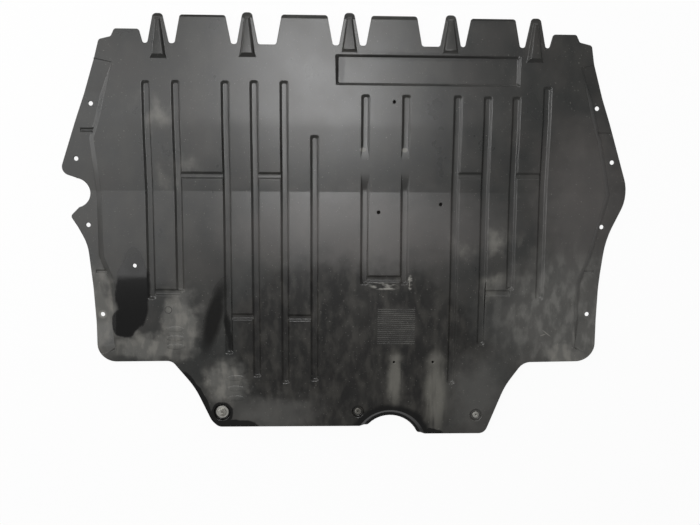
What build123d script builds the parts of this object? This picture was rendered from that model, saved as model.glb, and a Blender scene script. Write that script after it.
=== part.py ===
"""Engine splash shield: one moulded plastic sheet with its rear screws.

The shield lies with its road side up. +X is the car's left-right direction, +Y points to the front
edge with its tongues, +Z is up. The origin is the centre of the plan at floor level. Millimetres.

The sheet is modelled as its mould makes it. A die solid fills the space under the road-side face and
a second one fills the space under the hidden face. The sheet is what lies between the two.
"""

import os
from math import hypot, radians, tan

from build123d import *

# Overall sizes of the sheet
overall_width = 970.0
overall_length = 727.0
sheet_thickness = 3.0
wall_slope = 45.0

# Height of the road-side face above the floor, along the length. The front ridge is placed from the
# tongues' roots, the rear ridge and the tail's bend from the rear edge
front_height = 10.5
front_ridge_inset = 122.5
front_ridge_height = 14.5
valley_y = 67.5
valley_height = 10.0
rear_ridge_inset = 280.0
rear_ridge_height = 15.5
tail_height = 15.0
tail_bend_inset = 131.5
ridge_radius = 400.0
valley_radius = 30.0
tip_roll_length = 10.0
tip_roll_drop = 4.0

# Side rims, which lie a step lower than the panel and fade into it at both ends. Each width is that of
# the rim at one place, which is measured from the tongues' roots, along the length or from the rear edge
rim_drop = 7.0
rim_wall_slope = 35.0
rim_front_inset = 30.0
rim_foot_inset = 82.0
rim_heel_inset = 203.5
rim_rear_inset = 158.5
rim_fade_radius = 80.0
rim_end_step = 0.3
rim_tip_fall = 11.0
rim_front_widths = [(rim_front_inset, 95.0), (155.5, 58.0)]
rim_middle_width = (65.0, 42.0)
rim_rear_widths = [(320.8, 65.0), (274.1, 80.0), (226.5, 82.0), (rim_rear_inset, 78.0)]
notch_rim_width = 70.0

# Tongues along the front edge: half width at the root and at the top, and how far each reaches. The outer
# ones and the shoulders differ a little from right (1) to left (-1)
tongue_length = 53.5
gap_radius = 4.5
spike_root = 17.6
spike_tip = 7.6
spike_tip_radius = 6.8
inner_spike_x = 169.3
inner_spike_short = 1.5
outer_spike_x = {1: 312.5, -1: 316.0}
outer_spike_short = 5.0
flap_draft = 9.3
flap_corner_radius = 5.0
inner_flap_x = 74.6
inner_flap_root = 47.0
inner_flap_short = 4.5
outer_flap_x = {1: 240.3, -1: 242.5}
outer_flap_root = 46.5
outer_flap_short = 7.0
end_tab_near_x = {1: 336.5, -1: 341.0}
end_tab_far_x = {1: 382.0, -1: 387.0}
shoulder_inset = {1: 76.0, -1: 72.0}
end_tab_draft = 6.0
end_tab_short = 31.0
shoulder_drop = 43.5

# Beads that stiffen the spikes
bead_height = 6.0
bead_tip_height = 2.5
bead_root_width = 24.0
bead_tip_width = 7.0
bead_wall = 2.5
bead_length = 56.0
bead_end_inset = 11.0

# Long ribs from left to right: place across the width, distance of the front end from the tongues'
# roots and distance of the rear end from the rear edge
rib_floor = 8.0
rib_depth = 3.2
ribs = [
    (-338.0, 61.0, 245.5),
    (-289.0, 60.0, 259.5),
    (-207.0, 60.0, 148.5),
    (-159.0, 59.0, 106.5),
    (-109.0, 59.0, 94.5),
    (-58.0, 148.0, 98.5),
    (28.0, 80.0, 271.5),
    (97.0, 80.0, 271.5),
    (184.0, 80.0, 92.5),
    (235.0, 81.0, 163.5),
    (283.5, 81.0, 261.5),
    (336.0, 64.0, 244.5),
]
# Two of the ribs run out to the face on both sides of a flat place
split_ribs = (6, 7)
split_front_y = 129.0
split_rear_y = 93.0
run_out_length = 18.0

# Cross bars: the rib that each one starts from, to join it with the next, and its place along the length
bar_floor = 6.0
bar_depth = 2.8
cross_bars = [
    (0, -106.0),
    (1, 94.0),
    (2, -149.0),
    (3, 94.0),
    (4, -151.0),
    (6, -82.0),
    (8, 96.0),
    (9, -107.0),
    (10, 96.0),
]

# Recessed pad near the front edge
pad_left_x = -23.0
pad_right_x = 289.0
pad_front_inset = 13.0
pad_rear_inset = 65.0
pad_depth = 4.5
pad_corner_radius = 5.0

# Screw holes along the right (1) and left (-1) rims. The first is placed from the tongues' roots, the
# last from the rear edge and the others along the length, and each by its distance from the side
side_hole_radius = 3.75
first_hole_inset = 98.0
first_hole_from_side = {1: 60.0, -1: 53.5}
middle_holes = {1: [(121.0, 28.0), (9.0, 40.0)], -1: [(121.0, 24.5), (9.0, 40.0)]}
last_hole_inset = 217.5
last_hole_from_side = 59.0

# Other holes through the sheet
drain_radius = 2.0
drain_inset = 132.5
drain_x = (82.0, 151.0)
small_hole_radius = 2.8
small_holes = [(76.0, 219.0), (52.0, 33.0), (159.0, 47.0)]
plug_hole_radius = 3.4
plug_hole = (-366.0, -60.0)

# Short grooves across the rims
rim_groove_floor = 3.0
rim_groove_depth = 1.6
rim_groove_length = 24.0
rim_grooves = [(168.5, 47.0), (-71.0, 63.0)]

# Rear screws in round pockets, the outer two placed from the tail's sides
pocket_depth = 4.0
pocket_wall = 2.0
left_screw_from_side = 18.5
middle_screw_x = 19.0
right_screw_from_side = 24.5
screw_inset = 42.0
left_pocket_radius = 13.0
small_pocket_radius = 9.0
screw_hole_radius = 3.2
shank_radius = 2.5
shank_length = 11.0
shoulder_radius = 2.7
shoulder_below = 0.4
large_head_radius = 7.0
small_head_radius = 6.0
head_height = 3.2
drive_width = 3.4
drive_depth = 1.8
washer_radius = 11.0
washer_thickness = 1.5
retainer_radius = 7.0
retainer_thickness = 0.8
retainer_clearance = 0.05

# Rear edge
tail_width_left = 240.5
tail_width_right = 255.5
tail_corner_radius = 16.0
left_tail_short = 15.0
flange_inset = 133.5
waist_inset = 87.5
arch_x = 77.0
arch_centre_drop = 21.5
arch_radius = 54.0
arch_edge_radius = 6.0
arch_lip_width = 5.0
arch_lip_depth = 7.0

# Side notch on the left
notch_inset = 20.0
notch_y = 63.5
notch_radius = 25.0

side = overall_width / 2
front_tip = overall_length / 2
rear_edge = -overall_length / 2
front_edge = front_tip - tongue_length
front_ridge_y = front_edge - front_ridge_inset
rear_ridge_y = rear_edge + rear_ridge_inset
rim_front_y = front_edge - rim_front_inset
rim_foot_y = front_edge - rim_foot_inset
rim_heel_y = rear_edge + rim_heel_inset
rim_rear_y = rear_edge + rim_rear_inset
tail_bend_y = rear_edge + tail_bend_inset
flange_rear_y = rear_edge + flange_inset
waist_y = rear_edge + waist_inset
arch_centre_y = rear_edge - arch_centre_drop
pad_front_y = front_edge - pad_front_inset
pad_rear_y = front_edge - pad_rear_inset
screw_y = rear_edge + screw_inset
left_screw_x = left_screw_from_side - tail_width_left
right_screw_x = tail_width_right - right_screw_from_side
wall_run = tan(radians(wall_slope))
# How much a recess grows sideways so that its drafted wall keeps the sheet's thickness
wall_growth = sheet_thickness * tan(radians(wall_slope / 2))
rim_wall_run = 1 / tan(radians(rim_wall_slope))
rim_wall_growth = sheet_thickness * tan(radians(rim_wall_slope / 2))
reach = 40.0
above = 2.0
thin = 0.5
# The most of a side that one rounded corner may use
side_share = 0.49
# How far from a circle a corner may lie and still count as on it
close = 0.001


def crown_bends():
    """Bends of the road-side face seen from the side: place, height and radius."""
    slope = (front_ridge_height - front_height) / (front_edge - front_ridge_y)
    roll_y = front_tip - tip_roll_length
    roll_height = front_height - slope * (roll_y - front_edge)
    return [
        (front_tip + tip_roll_length, roll_height - 2 * tip_roll_drop, 0),
        (roll_y, roll_height, tip_roll_length),
        (front_ridge_y, front_ridge_height, ridge_radius),
        (valley_y, valley_height, valley_radius),
        (rear_ridge_y, rear_ridge_height, ridge_radius),
        (tail_bend_y, tail_height, ridge_radius / 2),
        (rear_edge - reach, tail_height, 0),
    ]


def crown(y):
    """Height of the road-side face at one place along the length."""
    bends = crown_bends()
    for (front, high, _), (rear, low, _) in zip(bends, bends[1:]):
        if y >= rear:
            return low + (high - low) * (y - rear) / (front - rear)
    return tail_height


def rim_bends():
    """Bends of the rims' upper face, which runs a step lower than the panel and touches the floor once."""
    full = [
        (rim_foot_y, rim_fade_radius), (front_ridge_y, ridge_radius), (valley_y, valley_radius),
        (rear_ridge_y, ridge_radius), (rim_heel_y, rim_fade_radius),
    ]
    return [
        (front_tip + reach, crown(front_tip) - rim_tip_fall, 0),
        (front_edge, crown(front_edge) - rim_end_step, 0),
        (rim_front_y, crown(rim_front_y) - rim_end_step, rim_fade_radius),
        *[(y, crown(y) - rim_drop, radius) for y, radius in full],
        (rim_rear_y, crown(rim_rear_y) - rim_end_step, rim_fade_radius),
        (rear_edge - reach, tail_height - rim_end_step, 0),
    ]


def rim_top(y):
    """Height of the rims' upper face at one place along the length."""
    bends = rim_bends()
    for (front, high, _), (rear, low, _) in zip(bends, bends[1:]):
        if y >= rear:
            return low + (high - low) * (y - rear) / (front - rear)
    return tail_height


def under_profile(bends):
    """Everything under a bent surface, as wide as the sheet and more."""
    top = FilletPolyline(
        [(0, y, z) for y, z, _ in bends], radius=[radius for _, _, radius in bends[1:-1]]
    )
    first, last = bends[0], bends[-1]
    foot = Polyline(
        (0, last[0], last[1]), (0, last[0], -reach), (0, first[0], -reach), (0, first[0], first[1])
    )
    side_view = make_face([*top.edges(), *foot.edges()])
    return Pos(-side - reach, 0, 0) * extrude(side_view, overall_width + 2 * reach, dir=(1, 0, 0))


def rounded_plan(corners):
    """A plan face through corners (x, y, radius), each radius limited by the sides that it joins."""
    points = [Vector(x, y) for x, y, _ in corners]
    radii = []
    for i, (_, _, wanted) in enumerate(corners):
        back = points[i - 1] - points[i]
        ahead = points[(i + 1) % len(points)] - points[i]
        turn = 180 - back.get_angle(ahead)
        room = side_share * min(back.length, ahead.length) / tan(radians(turn / 2))
        radii.append(min(wanted, room))
    return make_face(FilletPolyline(points, radius=radii, close=True).edges())


def fold_line(sign):
    """Plan of the top of one rim's wall, from the front to the rear."""
    middle_y, middle_width = rim_middle_width
    line = [(side + reach, front_tip + reach), (side + reach, front_edge)]
    line += [(side - width, front_edge - inset) for inset, width in rim_front_widths]
    line.append((side - (middle_width if sign > 0 else notch_rim_width), middle_y))
    line += [(side - width, rear_edge + inset) for inset, width in rim_rear_widths]
    line += [(side + reach, rim_rear_y - reach), (side + reach, rear_edge - reach)]
    return [(sign * x, y) for x, y in line]


def crown_space(growth):
    """The drafted space inside the rims' walls, smaller by growth all round."""
    plan = make_face(Polyline(*fold_line(1), *fold_line(-1)[::-1], close=True))
    level = (valley_height + rear_ridge_height) / 2
    low = valley_height - rim_drop - sheet_thickness - above
    high = max(front_ridge_height, rear_ridge_height) + above
    top = offset(plan, -growth - (high - level) * rim_wall_run, kind=Kind.INTERSECTION)
    foot = offset(plan, -growth + (level - low) * rim_wall_run, kind=Kind.INTERSECTION)
    return loft([Pos(0, 0, low) * foot, Pos(0, 0, high) * top], ruled=True)


def ruled(sections):
    """A solid through straight-sided sections."""
    return Solid.make_loft([Wire.make_polygon(points, close=True) for points in sections], ruled=True)


def trench(x, front, rear, floor, depth, growth, front_run=None, rear_run=None):
    """A groove along the length that follows the bent face, with sloping ends."""
    front_run = front_run or depth * wall_run
    rear_run = rear_run or depth * wall_run
    over = 1 + above / depth
    stops = [
        (front + growth + front_run * (over - 1), True),
        (front + growth - front_run, False),
        (rear - growth + rear_run, False),
        (rear - growth - rear_run * (over - 1), True),
    ]
    bends = [(y, False) for y, _, _ in crown_bends() if stops[2][0] < y < stops[1][0]]
    sections = []
    for y, is_end in sorted(stops + bends, reverse=True):
        base = above - thin if is_end else -depth
        half = floor / 2 + growth
        z = crown(y)
        low = half + (base + depth) * wall_run
        high = half + (above + depth) * wall_run
        sections.append([
            (x - low, y, z + base), (x + low, y, z + base),
            (x + high, y, z + above), (x - high, y, z + above),
        ])
    return ruled(sections)


def channel(x0, x1, y, floor, depth, growth, height):
    """A groove across the width, open at both ends."""
    half = floor / 2 + growth
    mouth = half + (depth + above) * wall_run
    z = height(y)
    sections = [
        [
            (x, y - half, z - depth), (x, y + half, z - depth),
            (x, y + mouth, z + above), (x, y - mouth, z + above),
        ]
        for x in (x0, x1)
    ]
    return ruled(sections)


def pad_recess(growth):
    """The shallow rectangular recess, parallel to the face that it sinks in."""
    corners = []
    for level in (-pad_depth, above):
        inset = -growth - level * wall_run
        x0, x1 = pad_left_x + inset, pad_right_x - inset
        y0, y1 = pad_rear_y + inset, pad_front_y - inset
        corners.append([(x, y, crown(y) + level) for x, y in ((x0, y0), (x1, y0), (x1, y1), (x0, y1))])
    recess = ruled(corners)
    upright = [e for e in recess.edges() if abs((e @ 1).Z - (e @ 0).Z) > pad_depth]
    return fillet(upright, pad_corner_radius + growth)


def dish(x, y, radius, face_z, depth, growth, wall=wall_run):
    """A round recess with a drafted wall, sunk from a face."""
    height = depth + above
    cone = Solid.make_cone(radius + growth, radius + growth + height * wall, height)
    return Pos(x, y, face_z - depth) * cone


def spikes():
    """The five spikes: place across the width and how far each stops short."""
    yield 0.0, 0.0
    for sign in (-1, 1):
        yield sign * inner_spike_x, inner_spike_short
        yield sign * outer_spike_x[sign], outer_spike_short


def bead(x, short, growth):
    """The tapering bead that stands on one spike and ends in a slope on the panel."""
    tip_y = front_tip - short - bead_end_inset
    root_y = tip_y - bead_length
    if pad_left_x < x < pad_right_x:
        root_y = pad_front_y + bead_height
    foot_y = root_y - bead_height
    sections = []
    for y, width, height in (
        (foot_y, bead_root_width + 2 * bead_wall, -thin),
        (root_y, bead_root_width - 2 * bead_wall, bead_height),
        (tip_y, bead_tip_width, bead_tip_height),
        (tip_y + bead_tip_height + thin, bead_tip_width, -thin),
    ):
        y += growth if y < root_y + thin else -growth
        half = width / 2 - growth
        spread = half + (height + above) * bead_wall / bead_height
        z = crown(y)
        sections.append([
            (x - spread, y, z - above), (x + spread, y, z - above),
            (x + half, y, z + height), (x - half, y, z + height),
        ])
    return ruled(sections)


def side_hole_places():
    """Plan places of the screw holes along both rims."""
    places = []
    for sign in (-1, 1):
        rows = [
            (front_edge - first_hole_inset, first_hole_from_side[sign]),
            *middle_holes[sign],
            (rear_edge + last_hole_inset, last_hole_from_side),
        ]
        places += [(sign * (side - inset), y) for y, inset in rows]
    return places


def rib_cuts(growth):
    """The long grooves, with a flat place in the middle of the split ones."""
    for n, (x, front_inset, rear_inset) in enumerate(ribs):
        front, rear = front_edge - front_inset, rear_edge + rear_inset
        if n in split_ribs:
            yield trench(x, front, split_front_y, rib_floor, rib_depth, growth, rear_run=run_out_length)
            yield trench(x, split_rear_y, rear, rib_floor, rib_depth, growth, front_run=run_out_length)
        else:
            yield trench(x, front, rear, rib_floor, rib_depth, growth)


def rear_pockets():
    """Plan place and floor radius of each rear screw's pocket."""
    return {
        "left": (left_screw_x, screw_y, left_pocket_radius),
        "middle": (middle_screw_x, screw_y, small_pocket_radius),
        "right": (right_screw_x, screw_y - left_tail_short / 2, small_pocket_radius),
    }


def under_face(drop, growth, rim_growth):
    """The space under the road-side face, or under the hidden face when drop is the thickness."""
    space = under_profile(rim_bends()) + (under_profile(crown_bends()) & crown_space(rim_growth))
    space += [bead(x, short, growth) for x, short in spikes()]
    cuts = list(rib_cuts(growth))
    for n, y in cross_bars:
        cuts.append(channel(ribs[n][0], ribs[n + 1][0], y, bar_floor, bar_depth, growth, crown))
    cuts.append(pad_recess(growth))
    for y, inset in rim_grooves:
        for sign in (-1, 1):
            middle = sign * (side - inset)
            cuts.append(channel(
                middle - rim_groove_length / 2, middle + rim_groove_length / 2,
                y, rim_groove_floor, rim_groove_depth, growth, rim_top,
            ))
    cuts += [
        dish(x, y, radius, tail_height, pocket_depth, growth, pocket_wall / pocket_depth)
        for x, y, radius in rear_pockets().values()
    ]
    lip_radius = arch_radius + arch_lip_width
    cuts.append(dish(arch_x, arch_centre_y, lip_radius, tail_height, arch_lip_depth, growth))
    space -= cuts
    return Pos(0, 0, -drop) * space


def front_half(sign):
    """Plan corners of the front edge from its middle to one side, with their radii."""
    tip, root = spike_tip, spike_root
    corners = [(tip, front_tip, spike_tip_radius), (root, front_edge, gap_radius)]
    for spike_x, spike_short, flap_x, flap_root, flap_short in (
        (inner_spike_x, inner_spike_short, inner_flap_x, inner_flap_root, inner_flap_short),
        (outer_spike_x[sign], outer_spike_short, outer_flap_x[sign], outer_flap_root, outer_flap_short),
    ):
        flap_top = flap_root - flap_draft
        corners += [
            (flap_x - flap_root, front_edge, gap_radius),
            (flap_x - flap_top, front_tip - flap_short, flap_corner_radius),
            (flap_x + flap_top, front_tip - flap_short, flap_corner_radius),
            (flap_x + flap_root, front_edge, gap_radius),
            (spike_x - root, front_edge, gap_radius),
            (spike_x - tip, front_tip - spike_short, spike_tip_radius),
            (spike_x + tip, front_tip - spike_short, spike_tip_radius),
            (spike_x + root, front_edge, gap_radius),
        ]
    corners += [
        (end_tab_near_x[sign], front_edge, gap_radius),
        (end_tab_near_x[sign] + end_tab_draft, front_tip - end_tab_short, flap_corner_radius),
        (end_tab_far_x[sign], front_tip - end_tab_short, flap_corner_radius),
        (end_tab_far_x[sign] + end_tab_draft, front_tip - shoulder_drop, gap_radius),
        (side - shoulder_inset[sign], front_tip - shoulder_drop - 5.0, 6.0),
    ]
    return [(sign * x, y, radius) for x, y, radius in corners]


def right_side():
    """Plan corners of the right side and the rear edge up to its middle."""
    return [
        (side - 71.0, front_edge - 26.0, 30.0),
        (side + 5.7, 65.0, 70.0),
        (side - 32.0, -14.0, 160.0),
        (side - 41.5, -90.0, 400.0),
        (side - 42.5, -165.0, 200.0),
        (side - 46.0, flange_rear_y, 44.0),
        (313.0, flange_rear_y - 2.0, 26.0),
        (281.5, waist_y, 130.0),
        (tail_width_right, rear_edge + 20.0, 20.0),
        (tail_width_right - 8.0, rear_edge, tail_corner_radius),
        (arch_x, rear_edge, 0),
    ]


def left_side():
    """Plan corners of the left side and the rear edge up to its middle."""
    notch_x = -side + notch_inset
    return [
        (-side + 64.0, front_edge - 25.0, 30.0),
        (-side - 4.2, 98.0, 14.0),
        (notch_x + 4.0, notch_y + notch_radius, 0),
        (notch_x, notch_y, 0),
        (notch_x + 6.0, notch_y - notch_radius + 1.0, 0),
        (-side + 10.5, 24.0, 6.0),
        (-side + 22.0, 6.0, 12.0),
        (-side + 38.0, -24.0, 90.0),
        (-side + 45.0, -95.0, 400.0),
        (-side + 48.0, -165.0, 200.0),
        (-side + 51.0, flange_rear_y + 1.0, 47.0),
        (-307.5, flange_rear_y + 2.0, 18.0),
        (-268.5, waist_y, 150.0),
        (-tail_width_left, rear_edge + 26.0, 30.0),
        (-tail_width_left + 12.0, rear_edge + left_tail_short, tail_corner_radius),
        (arch_x - arch_radius / 2, rear_edge + left_tail_short, 0),
    ]


def trimmed_plan():
    """Plan of the trimmed sheet, with its notch and its rear arch."""
    plan = rounded_plan(front_half(1) + right_side() + left_side()[::-1] + front_half(-1)[::-1])
    plan -= Pos(-side + notch_inset, notch_y) * Circle(notch_radius)
    plan -= Pos(arch_x, arch_centre_y) * Circle(arch_radius)
    ends = []
    for corner in plan.vertices():
        if abs(hypot(corner.X - arch_x, corner.Y - arch_centre_y) - arch_radius) < close:
            ends.append(corner)
    return fillet(ends, arch_edge_radius)


def holes():
    """Every round hole through the sheet."""
    places = [(x, y, side_hole_radius) for x, y in side_hole_places()]
    places += [(x, rear_edge + drain_inset, drain_radius) for x in drain_x]
    places += [(x, y, small_hole_radius) for x, y in small_holes]
    places += [(*plug_hole, plug_hole_radius)]
    places += [(x, y, screw_hole_radius) for x, y, _ in rear_pockets().values()]
    return [Pos(x, y, -reach) * Solid.make_cylinder(radius, 2 * reach) for x, y, radius in places]


def splash_shield():
    """The moulded sheet, trimmed and pierced."""
    sheet = under_face(0, 0, 0) - under_face(sheet_thickness, wall_growth, rim_wall_growth)
    sheet &= Pos(0, 0, -reach) * extrude(trimmed_plan(), 3 * reach, dir=(0, 0, 1))
    return sheet - holes()


def screw(seat_z, head_radius, is_hexagonal, shoulder_z):
    """A shouldered screw that stands head up on its seat, its thread left plain."""
    head = Solid.make_cylinder(head_radius, head_height)
    shank = Pos(0, 0, -shank_length) * Solid.make_cylinder(shank_radius, shank_length)
    shoulder = Pos(0, 0, shoulder_z - seat_z) * Solid.make_cylinder(shoulder_radius, seat_z - shoulder_z)
    drive = RegularPolygon(drive_width / 2 if is_hexagonal else drive_width / 3, 6, major_radius=False)
    socket = Pos(0, 0, head_height - drive_depth) * extrude(drive, reach, dir=(0, 0, 1))
    return Pos(0, 0, seat_z) * (head + shank + shoulder - socket)


def ring(radius, hole, thickness):
    """A flat ring that lies on its lower face."""
    return Solid.make_cylinder(radius, thickness) - Solid.make_cylinder(hole, thickness)


def rear_fasteners():
    """The three rear screws, the washer under one of them and the rings that keep them in."""
    pieces = {}
    floor_z = tail_height - pocket_depth
    for name, (x, y, _) in rear_pockets().items():
        is_left = name == "left"
        seat = floor_z + (washer_thickness if is_left else 0)
        head = large_head_radius if is_left else small_head_radius
        keeper_z = floor_z - sheet_thickness - retainer_thickness
        pieces[f"rear_screw_{name}"] = Pos(x, y, 0) * screw(seat, head, is_left, keeper_z - shoulder_below)
        keeper = ring(retainer_radius, shoulder_radius + retainer_clearance, retainer_thickness)
        pieces[f"rear_retainer_{name}"] = Pos(x, y, keeper_z) * keeper
    washer = ring(washer_radius, screw_hole_radius, washer_thickness)
    pieces["rear_washer_left"] = Pos(left_screw_x, screw_y, floor_z) * washer
    return pieces


def main():
    os.makedirs("parts", exist_ok=True)
    pieces = {"splash_shield": splash_shield(), **rear_fasteners()}
    for name, piece in pieces.items():
        export_step(piece, f"parts/{name}.step")
        box = piece.bounding_box()
        print(name, len(piece.solids()), round(piece.volume), box.min, box.max)


main()
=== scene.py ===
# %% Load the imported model
from math import radians

import bpy
from mathutils import Euler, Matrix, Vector


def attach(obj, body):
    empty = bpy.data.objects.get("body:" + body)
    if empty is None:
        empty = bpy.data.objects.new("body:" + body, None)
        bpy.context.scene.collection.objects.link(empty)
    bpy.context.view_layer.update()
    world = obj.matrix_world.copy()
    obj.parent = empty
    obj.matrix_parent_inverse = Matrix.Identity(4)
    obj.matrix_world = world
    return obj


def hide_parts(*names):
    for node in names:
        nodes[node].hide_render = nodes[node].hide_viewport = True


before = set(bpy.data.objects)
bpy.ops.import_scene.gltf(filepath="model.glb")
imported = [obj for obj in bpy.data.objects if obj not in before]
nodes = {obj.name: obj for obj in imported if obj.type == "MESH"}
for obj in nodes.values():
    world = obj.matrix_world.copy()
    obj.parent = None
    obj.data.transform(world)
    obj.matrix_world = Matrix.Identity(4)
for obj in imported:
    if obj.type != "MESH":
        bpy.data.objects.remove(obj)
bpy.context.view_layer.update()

MM = 0.001
print("nodes:", sorted(nodes))

# %% [markdown]
# The camera looks straight down on the shield, a little over a metre above it and slightly tilted,
# as someone would who photographs a part on the floor. Its place was worked out from the holes,
# tongues and corners that the photograph shows.

# %% Camera
image_width = 700
focal_length_px = 619.16
sensor_width_mm = 36.0

camera_data = bpy.data.cameras.new("camera")
camera_data.sensor_width = sensor_width_mm
camera_data.lens = focal_length_px / image_width * sensor_width_mm
camera = bpy.data.objects.new("camera", camera_data)
camera.location = Vector((-30.707, 79.211, 1077.094)) * MM
camera.rotation_euler = Euler((-0.124426, -0.030990, 0.006378), "XYZ")
bpy.context.scene.collection.objects.link(camera)
bpy.context.scene.camera = camera
bpy.context.scene.view_settings.view_transform = "Standard"
print("lens", round(camera_data.lens, 2), "mm")

# %% [markdown]
# Helpers. Colours are written as hex values, as a colour picker gives them, and one function turns them
# into the linear values that Blender works with. A second one adds a shader node with its settings and
# its links in one line, so that each material reads as a list of steps. A link is named after its socket,
# or numbered where a node has several sockets of one name. The coordinates are turned into millimetres, so
# that every pattern can be given its real size.

# %% Helpers
def linear(hex_colour):
    values = [int(hex_colour[i:i + 2], 16) / 255 for i in (1, 3, 5)]
    return (*[v / 12.92 if v <= 0.04045 else ((v + 0.055) / 1.055) ** 2.4 for v in values], 1.0)


def node(tree, kind, settings=None, **links):
    made = tree.nodes.new("ShaderNode" + kind)
    for name, value in (settings or {}).items():
        if hasattr(made, name):
            setattr(made, name, value)
        else:
            made.inputs[int(name) if name.isdigit() else name].default_value = value
    for name, source in links.items():
        name = name.replace("_", " ")
        socket = made.inputs[int(name[1:])] if name[1:].isdigit() else made.inputs[name]
        tree.links.new(source, socket)
    return made


def new_material(name):
    material = bpy.data.materials.new(name)
    material.use_nodes = True
    tree = material.node_tree
    tree.nodes.clear()
    return material, tree


def dress(pieces, material):
    """Gives each of the pieces this one material."""
    for piece in pieces:
        piece.data.materials.clear()
        piece.data.materials.append(material)


def in_millimetres(tree):
    coords = node(tree, "TexCoord")
    return node(tree, "Mapping", {"Scale": (1000, 1000, 1000)}, Vector=coords.outputs["Object"]).outputs[0]


print("white is", linear("#FFFFFF"))

# %% [markdown]
# Floor and light. The floor is plain white paper, which the camera sees as white. Under the middle of the
# shield the paper is painted dark and given no glow, as painted shade that stands in for the shade under
# the sheet, so that the small holes there look dark, as they do in the photograph, while the holes in the
# low rims show white. The painted shade is two boxes that overlap, one as wide as the middle panels and one
# that reaches back into the tail. Both are well inside the shield's outline.
#
# One large softbox hangs above the front edge. Black plastic hardly scatters light, so what the eye sees
# is mostly this softbox, mirrored dimly by each panel that leans towards it. A weak one fills in the left
# side, and two low strips, at the left and in front, draw the thin bright lines along the ribs and the
# bars. The world adds a little white light from all sides.

# %% Floor
floor_size = 12
glow_share = 0.92
# Two boxes of painted shade on the floor under the middle of the shield: dark paper colour and no glow
# there.
painted_shade_boxes = [(330, -222, 300), (215, -300, 300)]

bpy.ops.object.select_all(action="DESELECT")
bpy.ops.mesh.primitive_plane_add(size=floor_size)
floor = bpy.context.object
floor.name = "floor"

paper, tree = new_material("white_paper_floor_and_painted_shade")
glow = node(tree, "Emission", {"Color": linear("#FFFFFF"), "Strength": 1.0})
path = node(tree, "LightPath")
axes = node(tree, "SeparateXYZ", Vector=in_millimetres(tree))
across = node(tree, "Math", {"operation": "ABSOLUTE"}, _0=axes.outputs["X"])
outsides = []
for half_width, rear_y, front_y in painted_shade_boxes:
    beside = node(tree, "Math", {"operation": "GREATER_THAN", "1": half_width}, _0=across.outputs[0])
    behind = node(tree, "Math", {"operation": "LESS_THAN", "1": rear_y}, _0=axes.outputs["Y"])
    before = node(tree, "Math", {"operation": "GREATER_THAN", "1": front_y}, _0=axes.outputs["Y"])
    either = node(tree, "Math", {"operation": "MAXIMUM"}, _0=beside.outputs[0], _1=behind.outputs[0])
    outside = node(tree, "Math", {"operation": "MAXIMUM"}, _0=either.outputs[0], _1=before.outputs[0])
    outsides.append(outside.outputs[0])
outside_painted_shade = node(tree, "Math", {"operation": "MULTIPLY"}, _0=outsides[0], _1=outsides[1]).outputs[0]
# The dark colour is painted shade under the shield, and the pale one is the white paper.
paper_and_painted_shade = {"data_type": "RGBA", "6": linear("#383736"), "7": linear("#F2F2F2")}
tone = node(tree, "Mix", paper_and_painted_shade, _0=outside_painted_shade)
diffuse = node(tree, "BsdfDiffuse", Color=tone.outputs[2])
seen = node(tree, "Math", {"operation": "MULTIPLY"}, _0=path.outputs["Is Camera Ray"], _1=outside_painted_shade)
share = node(tree, "Math", {"operation": "MULTIPLY", "1": glow_share}, _0=seen.outputs[0])
mix = node(tree, "MixShader", Fac=share.outputs[0], _1=diffuse.outputs[0], _2=glow.outputs[0])
node(tree, "OutputMaterial", Surface=mix.outputs[0])
floor.data.materials.append(paper)
print("floor", floor_size, "m wide")

# %% World and softboxes
world_strength = 0.25

world = bpy.data.worlds.new("studio")
world.use_nodes = True
bpy.context.scene.world = world
background = world.node_tree.nodes["Background"]
background.inputs["Color"].default_value = linear("#FFFFFF")
background.inputs["Strength"].default_value = world_strength


def softbox(name, place, target, width, depth, power):
    light = bpy.data.lights.new(name, "AREA")
    light.shape = "RECTANGLE"
    light.size = width
    light.size_y = depth
    light.energy = power
    lamp = bpy.data.objects.new(name, light)
    lamp.location = place
    lamp.rotation_euler = (Vector(target) - Vector(place)).to_track_quat("-Z", "Y").to_euler()
    bpy.context.scene.collection.objects.link(lamp)
    print(name, power, "W")


softbox("front_softbox", place=(-0.1, 0.74, 2.6), target=(-0.02, 0.1, 0.0), width=0.8, depth=1.3, power=34)
softbox("left_fill", place=(-1.6, 0.5, 2.3), target=(-0.2, 0.1, 0.0), width=1.5, depth=1.8, power=17)
softbox("left_low_strip", place=(-2.4, 0.7, 0.55), target=(0.0, 0.0, 0.0), width=1.4, depth=0.7, power=16)
softbox("front_low_strip", place=(0.2, 2.6, 0.6), target=(0.0, 0.0, 0.0), width=2.0, depth=0.7, power=8)

# %% [markdown]
# Copies to work on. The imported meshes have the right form, but they are loose triangles with edges as
# sharp as in the drawing. So each visible piece is copied, its triangles are merged back into faces, and
# the edges are rounded on the copy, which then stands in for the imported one. A Bevel modifier could round
# them too, but in edit mode the edges can be chosen one by one.

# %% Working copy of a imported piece
merge_distance = 0.02 * MM
flat_angle = radians(0.6)


def copy_of(name, new_name):
    """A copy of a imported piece, with its own mesh of whole faces, as the active object."""
    source = nodes[name]
    made = source.copy()
    made.data = source.data.copy()
    made.name = new_name
    made.data.name = new_name
    made.parent = None
    for key in list(made.keys()):
        del made[key]
    bpy.context.scene.collection.objects.link(made)
    bpy.ops.object.select_all(action="DESELECT")
    made.select_set(True)
    bpy.context.view_layer.objects.active = made
    bpy.ops.object.mode_set(mode="EDIT")
    bpy.ops.mesh.select_all(action="SELECT")
    bpy.ops.mesh.remove_doubles(threshold=merge_distance)
    bpy.ops.mesh.dissolve_limited(angle_limit=flat_angle)
    bpy.ops.mesh.select_all(action="DESELECT")
    bpy.ops.object.mode_set(mode="OBJECT")
    return made


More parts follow.
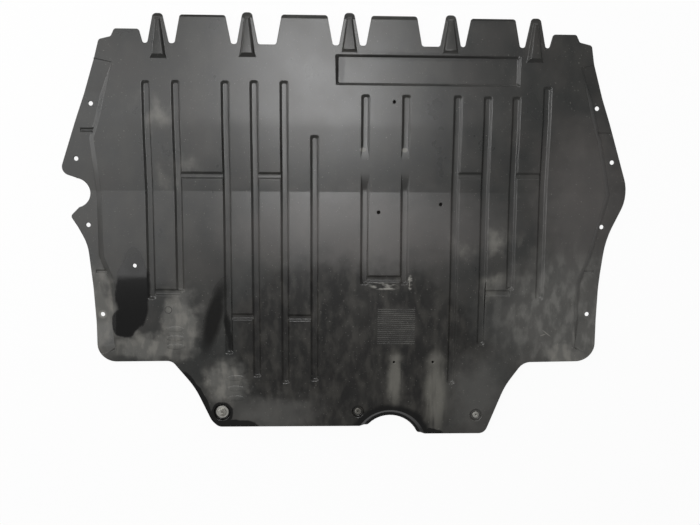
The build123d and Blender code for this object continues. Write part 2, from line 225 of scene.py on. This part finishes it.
shield = copy_of("splash_shield", "moulded_sheet")
print("sheet faces before rounding:", len(shield.data.polygons))

# %% [markdown]
# Picking edges. An edge is known by its number, and picked by the places of its two ends. One helper lists
# these places for all edges, and another rounds the edges whose numbers it is given.

# %% Edge helpers
def ends_of(piece):
    """Both ends of each edge, in millimetres, the lower one first."""
    vertices = piece.data.vertices
    pairs = [[vertices[i].co / MM for i in edge.vertices] for edge in piece.data.edges]
    return [sorted(pair, key=lambda place: place.z) for pair in pairs]


def bevel_edges(piece, numbers, width, segments):
    """Rounds the edges with these numbers."""
    bpy.ops.object.mode_set(mode="EDIT")
    bpy.ops.mesh.select_mode(type="EDGE")
    bpy.ops.mesh.select_all(action="DESELECT")
    bpy.ops.object.mode_set(mode="OBJECT")
    for number in numbers:
        piece.data.edges[number].select = True
    bpy.ops.object.mode_set(mode="EDIT")
    bpy.ops.mesh.bevel(offset=width * MM, segments=segments, affect="EDGES")
    bpy.ops.object.mode_set(mode="OBJECT")


print("sheet edges:", len(ends_of(shield)))

# %% [markdown]
# Rib ends. A mould is cut with a round tool, so the ends of its grooves are rounded. The corners of a rib's
# end are the short edges that climb slantwise from its floor to its mouth, and they stand in pairs, one
# floor's width apart. So they can be picked by their rise, their slant and their partner.

# %% Round the rib ends
lowest_rise, highest_rise = 2.0, 4.5
least_slant, most_slant = 0.5, 1.6
narrowest_floor, widest_floor, out_of_line = 7.5, 11, 0.5
slanted = {}
for number, (low, high) in enumerate(ends_of(shield)):
    rise, runs = high.z - low.z, (abs(high.x - low.x), abs(high.y - low.y))
    climbs = lowest_rise < rise < highest_rise
    if climbs and all(least_slant * rise < run < most_slant * rise for run in runs):
        slanted[number] = low


def has_partner(low):
    """Whether another slanted edge starts beside this one, a floor's width away."""
    for other in slanted.values():
        if narrowest_floor < abs(low.x - other.x) < widest_floor and abs(low.y - other.y) < out_of_line:
            return True
    return False


rib_corners = [number for number, low in slanted.items() if has_partner(low)]
bevel_edges(shield, rib_corners, width=3.0, segments=3)
print("rib corners:", len(rib_corners))

# %% [markdown]
# Beads. Each tongue is stiffened by a tapering bead, and the same round tool has rounded its back. The
# backs are the only long edges that stand high above the tongues. Those of the two beads in front of the
# pad are left out, because the pad's edge is too near to them.

# %% Round the beads
lowest_back, rearmost_back, shortest_back = 15.5, 285, 40
pad_beads_x, pad_beads_reach = 85, 130
bead_backs = [
    number for number, (low, high) in enumerate(ends_of(shield))
    if high.z > lowest_back and min(low.y, high.y) > rearmost_back
    and (high - low).length > shortest_back and abs(low.x - pad_beads_x) > pad_beads_reach
]
bevel_edges(shield, bead_backs, width=2.4, segments=3)
print("bead backs:", len(bead_backs))

# %% [markdown]
# Soft edges. Nothing moulded has a knife edge, and it is the radius that catches a thin line of light. So
# every edge that turns sharply is picked and rounded, but for those with an end in a box where two edges
# run too close together for a radius. After that the faces are shaded smooth, with normals that follow the
# large faces, so that the flat panels still look flat in the light.

# %% Rounding and shading helpers
def in_a_box(place, boxes):
    return any(left < place.x < right and rear < place.y < front for left, rear, right, front in boxes)


def soften(piece, width, segments, angle, crowded=()):
    """Rounds every edge that turns by more than the angle, but for those that end in a crowded box."""
    bpy.ops.object.mode_set(mode="EDIT")
    bpy.ops.mesh.select_mode(type="EDGE")
    bpy.ops.mesh.select_all(action="DESELECT")
    bpy.ops.mesh.edges_select_sharp(sharpness=radians(angle))
    bpy.ops.object.mode_set(mode="OBJECT")
    roomy = [
        number for number, ends in enumerate(ends_of(piece))
        if piece.data.edges[number].select and not any(in_a_box(end, crowded) for end in ends)
    ]
    bevel_edges(piece, roomy, width, segments)


def finish_surface(piece, smooth_angle):
    """Smooth shading inside the faces, with normals that follow the large faces."""
    bpy.ops.object.shade_smooth_by_angle(angle=radians(smooth_angle))
    weights = piece.modifiers.new("normals", "WEIGHTED_NORMAL")
    weights.keep_sharp = True
    weights.weight = 100
    bpy.ops.object.modifier_apply(modifier="normals")


print("rounding helpers made")

# %% [markdown]
# The sheet's other edges get a radius of a little under a millimetre. Four places stay crisp: the pad's
# front edge at the feet of two beads, the small hole beside a rib end, and two gap corners. Each is a box
# from its left and rear to its right and front side.

# %% Small radius on the sheet's other edges
pad_front, small_hole = (-25, 296.5, 290, 301.5), (70, 218, 80, 226)
gap_corners = [(-32, 308, -26, 315), (-303, 308, -297, 315)]
soften(shield, width=0.9, segments=2, angle=32, crowded=[pad_front, small_hole, *gap_corners])
finish_surface(shield, smooth_angle=36)
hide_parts("splash_shield")
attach(shield, "root")
print("sheet faces:", len(shield.data.polygons))

# %% [markdown]
# Moulded hatch. Behind the middle ribs stands a plain hatch of low lines. It could be cut into the sheet,
# but its lines are only a few tenths of a millimetre high, so it is a piece half sunk in the sheet. One
# line is made, and an Array modifier repeats it, one pitch back and a little lower each time, as the sheet
# falls there.

# %% Moulded hatch
def settle(name):
    """Gives a new primitive its name and puts its place and size into its mesh."""
    made = bpy.context.object
    made.name = name
    made.data.name = name
    bpy.ops.object.transform_apply(location=True, rotation=True, scale=True)
    return made


hatch_place = Vector((85.0, -136.0, 15.32)) * MM
hatch_line = (66.0, 1.7, 1.4)
hatch_pitch, hatch_lines, face_fall = 3.6, 18, 0.0034
bpy.ops.object.select_all(action="DESELECT")
bpy.ops.mesh.primitive_cube_add(size=MM, location=hatch_place, scale=hatch_line)
hatch = settle("moulded_hatch")
rows = hatch.modifiers.new("rows", "ARRAY")
rows.count = hatch_lines
rows.use_relative_offset = False
rows.use_constant_offset = True
rows.constant_offset_displace = (0, -hatch_pitch * MM, -hatch_pitch * face_fall * MM)
bpy.ops.object.modifier_apply(modifier="rows")
soften(hatch, width=0.25, segments=2, angle=40)
print("hatch of", hatch_lines, "lines,", hatch_pitch, "mm apart")

# %% [markdown]
# Moulded ring. Near the left rib ends stands a small ring. A torus half sunk in the sheet shows as a low,
# round ridge, which is what a groove in the mould gives.

# %% Moulded ring
ring_place = Vector((-311.0, -137.0, 15.2)) * MM
ring_radius, ring_height = 6.0 * MM, 0.6 * MM
bpy.ops.object.select_all(action="DESELECT")
bpy.ops.mesh.primitive_torus_add(
    major_radius=ring_radius, minor_radius=ring_height, major_segments=40, minor_segments=8,
    location=ring_place,
)
ring = settle("moulded_ring")
bpy.ops.object.shade_smooth()
print("ring", 2 * ring_radius / MM, "mm wide")

# %% [markdown]
# Ripples. Behind the left ribs and in the tail the sheet has been pushed up into three short ripples at
# each place. A ripple is half a flat ball, and the other half is hidden in the sheet. The tail lies a
# little lower than the panels, so its ripples do too.

# %% Ripples
ripple_size = (16, 5.5, 0.5)
tail_front_y, tail_z, panel_z = -232, 14.9, 15.1
ripple_places = [(-197, -259), (-197, -278), (-197, -296), (-300, -171), (-300, -187), (-300, -202)]
ripples = []
for number, (x, y) in enumerate(ripple_places):
    bpy.ops.object.select_all(action="DESELECT")
    place = Vector((x, y, tail_z if y < tail_front_y else panel_z)) * MM
    bpy.ops.mesh.primitive_uv_sphere_add(
        segments=24, ring_count=10, radius=MM, location=place, scale=ripple_size,
    )
    ripples.append(settle(f"ripple_{number + 1}"))
    bpy.ops.object.shade_smooth()
marks = [hatch, ring, *ripples]
for mark in marks:
    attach(mark, "root")
print("marks:", [mark.name for mark in marks])

# %% [markdown]
# Screw heads. Each rear screw is zinc plated steel, cold headed, so its rim is rounded rather than cut.
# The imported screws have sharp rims, and the copies get that rounding. The washer is stamped, with a much
# smaller radius.

# %% Rounded screws and washer
screw_radius, washer_radius = 0.9, 0.3
rim_radii = {f"rear_screw_{place}": screw_radius for place in ("left", "middle", "right")}
rim_radii["rear_washer_left"] = washer_radius
steel_pieces = []
for name, radius in rim_radii.items():
    piece = copy_of(name, "zinc_" + name)
    soften(piece, width=radius, segments=3, angle=50)
    finish_surface(piece, smooth_angle=40)
    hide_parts(name)
    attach(piece, "root")
    steel_pieces.append(piece)
    print(piece.name, len(piece.data.polygons), "faces")

# %% [markdown]
# Masks for wear and dirt, and for some painted shade and sheen. A used shield is never one colour: it is
# wet with oil in one place, dusty in another and washed by the runs below its holes. Each such place is an
# ellipse on the sheet, given by its centre and half sizes in millimetres. For most of them noise shifts the
# coordinates first, so that no edge is a clean curve. A spot is as deep as a column, so the height of the
# sheet doesn't matter.

# %% Spot helpers
column_height = 10000


def patch(tree, coords, centre, half_sizes, turn, soft):
    """Mask of one spot: 1 inside, fading to 0 at its edge."""
    settings = {
        "vector_type": "TEXTURE", "Location": (*centre, 0), "Rotation": (0, 0, radians(turn)),
        "Scale": (*half_sizes, column_height),
    }
    place = node(tree, "Mapping", settings, Vector=coords)
    ball = node(tree, "TexGradient", {"gradient_type": "SPHERICAL"}, Vector=place.outputs[0])
    ramp = {"interpolation_type": "SMOOTHSTEP", "From Min": 0.0, "From Max": soft}
    return node(tree, "MapRange", ramp, Value=ball.outputs["Fac"]).outputs[0]


def patches(tree, coords, spots, soft):
    """One mask of several spots: centre, half sizes and turn."""
    total = None
    for centre, half_sizes, turn in spots:
        mask = patch(tree, coords, centre, half_sizes, turn, soft)
        if total is None:
            total = mask
        else:
            total = node(tree, "Math", {"operation": "MAXIMUM"}, _0=total, _1=mask).outputs[0]
    return total


print("spot helpers made")

# %% [markdown]
# Grain and films. Dust and dirt have a grain, which is noise of one size, stretched where something ran or
# rubbed. A film is then laid over the look so far, with a colour and a roughness of its own, as thick as
# its mask says.

# %% Grain and film helpers
def grain(tree, coords, stretch, size, low, high, detail=4.0):
    """Mask of noise with spots of one size in millimetres, stretched along each axis."""
    drawn = node(tree, "Mapping", {"Scale": stretch}, Vector=coords)
    noise = node(tree, "TexNoise", {"Scale": 1 / size, "Detail": detail}, Vector=drawn.outputs[0])
    ramp = {"interpolation_type": "SMOOTHSTEP", "From Min": low, "From Max": high}
    return node(tree, "MapRange", ramp, Value=noise.outputs[0]).outputs[0]


def times(tree, first, second):
    return node(tree, "Math", {"operation": "MULTIPLY"}, _0=first, _1=second).outputs[0]


def lay(tree, look, mask, tint, cover, roughness):
    """Lays a film over a look, which is a colour and a roughness."""
    colour, gloss = look
    share = node(tree, "Math", {"operation": "MULTIPLY", "1": cover}, _0=mask).outputs[0]
    colour = node(tree, "Mix", {"data_type": "RGBA", "7": linear(tint)}, _0=share, _6=colour).outputs[2]
    gloss = node(tree, "Mix", {"data_type": "FLOAT", "3": roughness}, _0=share, _2=gloss).outputs[0]
    return colour, gloss


print("film helpers made")

# %% [markdown]
# Black polypropylene, injection moulded: IOR 1.49, a soft gloss, and a fine grain from the mould. On the
# road side lies what the road leaves there, and some painted shade and sheen lies with it. The films follow
# one another as on the real part: first the wet soil of the rear panels, which also paints a dark band of
# shade, then dried dust, which also paints a pale band of sheen across the middle, with the runs below the
# drain holes, then oil, and last the scratches that lie on top of them. Two sets of shifted coordinates are
# made here as well: one shifts the edges of large spots by a centimetre or two, the other those of small
# spots by a few millimetres.

# %% Bare plastic
drift_size, wide_shift, narrow_shift = 22, 55, 12
plastic, tree = new_material("moulded_polypropylene")
mm = in_millimetres(tree)
drift = node(tree, "TexNoise", {"Scale": 1 / drift_size, "Detail": 5.0}, Vector=mm)
middle_grey = {"operation": "SUBTRACT", "1": (0.5, 0.5, 0.5)}
centred = node(tree, "VectorMath", middle_grey, _0=drift.outputs["Color"])
wide = {"operation": "MULTIPLY_ADD", "1": (wide_shift, wide_shift, 0)}
shifted = node(tree, "VectorMath", wide, _0=centred.outputs[0], _2=mm).outputs[0]
narrow = {"operation": "MULTIPLY_ADD", "1": (narrow_shift, narrow_shift, 0)}
nudged = node(tree, "VectorMath", narrow, _0=centred.outputs[0], _2=mm).outputs[0]

mottle = grain(tree, mm, (1, 1, 1), 60, 0.3, 0.7)
blacks = {"data_type": "RGBA", "6": linear("#292A29"), "7": linear("#302F2D")}
colour = node(tree, "Mix", blacks, _0=mottle).outputs[2]
gloss = node(tree, "Mix", {"data_type": "FLOAT", "2": 0.27, "3": 0.31}, _0=mottle).outputs[0]
look = (colour, gloss)
print("bare plastic made")

# %% [markdown]
# Wet soil and painted shade. The rear panels are nearly black with wet soil, with paler blotches where it
# dries, and the same dark mask also paints the dark band of shade that lies across them. It could be
# painted on an image, but ellipses shifted by noise need no file and stay sharp from near.

# %% Wet soil and painted shade
# This mask is wet soil and painted shade: it also darkens the rear panels as their band of shade.
wet_soil_and_painted_shade = patches(tree, shifted, [((20, -218), (235, 178), 0), ((-60, -190), (150, 150), 0)], soft=0.2)
blotches = grain(tree, mm, (1, 0.45, 1), 15, 0.42, 0.66, detail=7.0)
look = lay(tree, look, wet_soil_and_painted_shade, "#141312", 0.85, 0.28)
look = lay(tree, look, times(tree, wet_soil_and_painted_shade, blotches), "#45433E", 0.32, 0.42)
print("soil made")

# %% [markdown]
# Dried dust and painted sheen. A thin film lies over the whole sheet, thicker across the middle, along the
# right side and in a few clouds. The thicker film across the middle also paints the sheen of the bright
# middle band. Dust scatters light where bare plastic doesn't, so it has a paler colour and is rougher.

# %% Dried dust and painted sheen
film = grain(tree, mm, (1, 0.6, 1), 30, 0.40, 0.72, detail=8.0)
look = lay(tree, look, film, "#55534E", 0.13, 0.45)
# This pale band is dust and painted sheen: it also lightens the middle panels as their bright band of
# reflection.
dust_and_painted_sheen = patches(tree, shifted, [((40, 2), (340, 95), 0), ((410, 60), (120, 190), 0)], soft=0.8)
look = lay(tree, look, dust_and_painted_sheen, "#6A6664", 0.36, 0.36)
right_film = patches(tree, shifted, [((395, -150), (190, 150), 0)], soft=0.7)
look = lay(tree, look, right_film, "#62615E", 0.5, 0.5)
look = lay(tree, look, times(tree, right_film, blotches), "#7A7975", 0.4, 0.5)
clouds = patches(tree, shifted, [
    ((-292, 102), (46, 55), 0), ((255, -92), (35, 34), 0), ((-330, 200), (50, 40), 0),
    ((250, -20), (120, 30), 0),
], soft=0.9)
look = lay(tree, look, times(tree, clouds, film), "#85837C", 0.5, 0.5)
print("dust made")

# %% [markdown]
# Dusty corners. The left rear corner, the left part of the tail and the rear end of the right rim hold
# more dust, in blotches. The rest of the tail has a thinner, even film.

# %% Dusty corners and tail
dusty = patches(tree, shifted, [
    ((-345, -205), (90, 34), 0), ((-290, -160), (42, 80), 0), ((-215, -268), (48, 52), 0),
    ((392, -218), (66, 20), 0), ((-430, -140), (36, 105), 0),
], soft=0.7)
look = lay(tree, look, dusty, "#676662", 0.6, 0.5)
look = lay(tree, look, times(tree, dusty, blotches), "#85827B", 0.4, 0.55)
tail = patches(tree, shifted, [((228, -290), (85, 100), 0), ((-130, -325), (115, 50), 0)], soft=0.8)
look = lay(tree, look, tail, "#5F5E5B", 0.45, 0.5)
print("corners and tail dusty")

# %% [markdown]
# Runs and halos. Water has run from two drain holes towards the rear and left pale tracks, and a ring of
# dust lies round each hole. The noise of the tracks is stretched the way the water ran. The hatch holds a
# little dust too, and small pale specks of dried mud lie all over the sheet.

# %% Runs, halos and specks
washed = patches(tree, nudged, [((84, -262), (19, 66), 0), ((157, -290), (28, 96), 0)], soft=0.7)
runs = grain(tree, mm, (1, 0.12, 1), 11, 0.2, 0.55)
look = lay(tree, look, times(tree, washed, runs), "#73716A", 0.6, 0.5)
halos = patches(tree, nudged, [((84, -224), (16, 12), 0), ((154, -224), (22, 18), 0)], soft=0.9)
look = lay(tree, look, halos, "#6E6C66", 0.4, 0.5)
marked = patches(tree, mm, [((85, -167), (50, 44), 0)], soft=0.4)
look = lay(tree, look, marked, "#4E4D48", 0.22, 0.45)
specks = grain(tree, mm, (1, 1, 1), 2.4, 0.69, 0.76, detail=2.0)
look = lay(tree, look, specks, "#8C8A84", 0.5, 0.6)
print("runs and specks made")

# %% [markdown]
# Oil. It soaks the dust and is smooth, so it is nearly black and mirrors the light more sharply than the
# plastic does. It lies on the left rear corner, in smears along two left ribs and along the rear edge. The
# dark line along the pad's front and left edges is no oil but painted shade of the pad's walls, thin and
# dull.

# %% Oil, soaked rear edge and painted shade along the pad
# Painted shade: a thin dark line where the pad's walls turn away from the light.
painted_shade_at_pad_edges = patches(tree, nudged, [((132, 293), (172, 8), 0), ((-13, 272), (9, 32), 0)], soft=0.5)
look = lay(tree, look, painted_shade_at_pad_edges, "#11100F", 0.75, 0.35)
smears = patches(tree, nudged, [((-233, -150), (19, 88), -15), ((-208, -178), (7, 52), 8)], soft=0.6)
look = lay(tree, look, smears, "#080807", 0.92, 0.16)
soaked = patches(tree, nudged, [
    ((77, -385), (80, 82), 0), ((-262, -300), (13, 62), 27), ((-212, -350), (60, 17), 0),
    ((-222, -322), (20, 20), 0), ((20, -358), (60, 12), 0), ((150, -362), (26, 9), 0),
], soft=0.12)
look = lay(tree, look, soaked, "#060606", 0.92, 0.14)
oil = patches(tree, nudged, [
    ((-371, -104), (31, 66), -6), ((-387, -160), (27, 27), 0), ((-368, -132), (25, 38), 0),
], soft=0.16)
look = lay(tree, look, oil, "#060606", 0.96, 0.15)
thin_oil = patches(tree, nudged, [((-368, -50), (24, 34), 0)], soft=0.6)
look = lay(tree, look, thin_oil, "#141413", 0.7, 0.24)
print("oil made")

# %% [markdown]
# Scratches. Where the sheet has touched the ground it is rubbed pale, mostly in lines that run across. They
# are short and few, so each is an ellipse too, some of them hardly wider than a line.

# %% Scratches and wear
scuffs = patches(tree, mm, [((62, -95), (29, 8), -4), ((108, -88), (5, 16), 0)], soft=0.4)
scuff_lines = grain(tree, mm, (0.25, 1, 1), 3.5, 0.45, 0.62)
look = lay(tree, look, times(tree, scuffs, scuff_lines), "#A09E97", 0.6, 0.5)
scratches = patches(tree, mm, [
    ((107, -88), (1.2, 14), 0), ((352, -179), (12, 1.1), -38), ((346, -182), (7, 1.0), 20),
    ((24, 139), (7, 5), 0), ((95, 139), (7, 5), 0), ((-426, -146), (9, 9), 0),
], soft=0.5)
look = lay(tree, look, scratches, "#8F8D86", 0.5, 0.5)
print("scratches made")

# %% [markdown]
# Grain. The mould gives the sheet a fine grain. The real one is a few tenths of a millimetre, too fine to
# show from here, so it is drawn as coarse as it needs to show. It is a bump, which only turns the light and
# adds no faces.

# %% Grain and shader
pore_size = 1.1
pores = node(tree, "TexNoise", {"Scale": 1 / pore_size, "Detail": 2.0}, Vector=mm)
moulded = node(tree, "Bump", {"Strength": 0.12, "Distance": 0.1 * MM}, Height=pores.outputs[0])
shader = node(
    tree, "BsdfPrincipled", {"IOR": 1.49},
    Base_Color=look[0], Roughness=look[1], Normal=moulded.outputs[0],
)
node(tree, "OutputMaterial", Surface=shader.outputs[0])
dress((shield, *ripples), plastic)
print("plastic nodes:", len(tree.nodes))

# %% [markdown]
# Marks rubbed pale. The hatch and the ring stand proud of the sheet, so they are rubbed and hold dust,
# and show paler than the plastic round them.

# %% Dusty marks
dusty_plastic, tree = new_material("dusty_rubbed_plastic")
rubbed = grain(tree, in_millimetres(tree), (0.3, 1, 1), 9, 0.35, 0.65)
tones = {"data_type": "RGBA", "6": linear("#2B2A29"), "7": linear("#474643")}
colour = node(tree, "Mix", tones, _0=rubbed).outputs[2]
shader = node(tree, "BsdfPrincipled", {"IOR": 1.49, "Roughness": 0.5}, Base_Color=colour)
node(tree, "OutputMaterial", Surface=shader.outputs[0])
dress((hatch, ring), dusty_plastic)
print("marks dusty")

# %% [markdown]
# Zinc plated steel, cold headed or stamped, and dulled by the road: a grey metal with a broad, soft
# reflection and darker dirt in patches of a few millimetres. The middle screw is caked with it. The right
# one has a dark spot in the middle, which is painted shade of the recess in its head. The rings under the
# sheet are spring steel, blued, so they are darker. A metal keeps the default IOR.

# %% Steel of the screws and rings
def dull_steel(name, bright, dark, roughness, patch_size):
    material, tree = new_material(name)
    mm = in_millimetres(tree)
    dirt = grain(tree, mm, (1, 1, 1), patch_size, 0.35, 0.65)
    tones = {"data_type": "RGBA", "6": linear(bright), "7": linear(dark)}
    colour = node(tree, "Mix", tones, _0=dirt).outputs[2]
    gloss = node(tree, "Mix", {"data_type": "FLOAT", "2": roughness, "3": 0.6}, _0=dirt).outputs[0]
    # Caked dirt on the middle screw, and a dark spot of painted shade for the recess in the right screw's
    # head.
    dirt_and_painted_recess_shade = patches(tree, mm, [((22, -324), (12, 12), 0), ((231, -329), (1.8, 1.8), 0)], soft=0.5)
    colour, gloss = lay(tree, (colour, gloss), dirt_and_painted_recess_shade, "#3A3833", 0.7, 0.6)
    shader = node(tree, "BsdfPrincipled", {"Metallic": 1.0}, Base_Color=colour, Roughness=gloss)
    node(tree, "OutputMaterial", Surface=shader.outputs[0])
    return material


zinc = dull_steel("dull_zinc_plated_steel", "#BDBCB6", "#8B8983", 0.45, 8)
blued = dull_steel("blued_spring_steel", "#5A5A5C", "#3A3733", 0.45, 5)
dress(steel_pieces, zinc)
dress([piece for name, piece in nodes.items() if name.startswith("rear_retainer")], blued)
print("steel made")
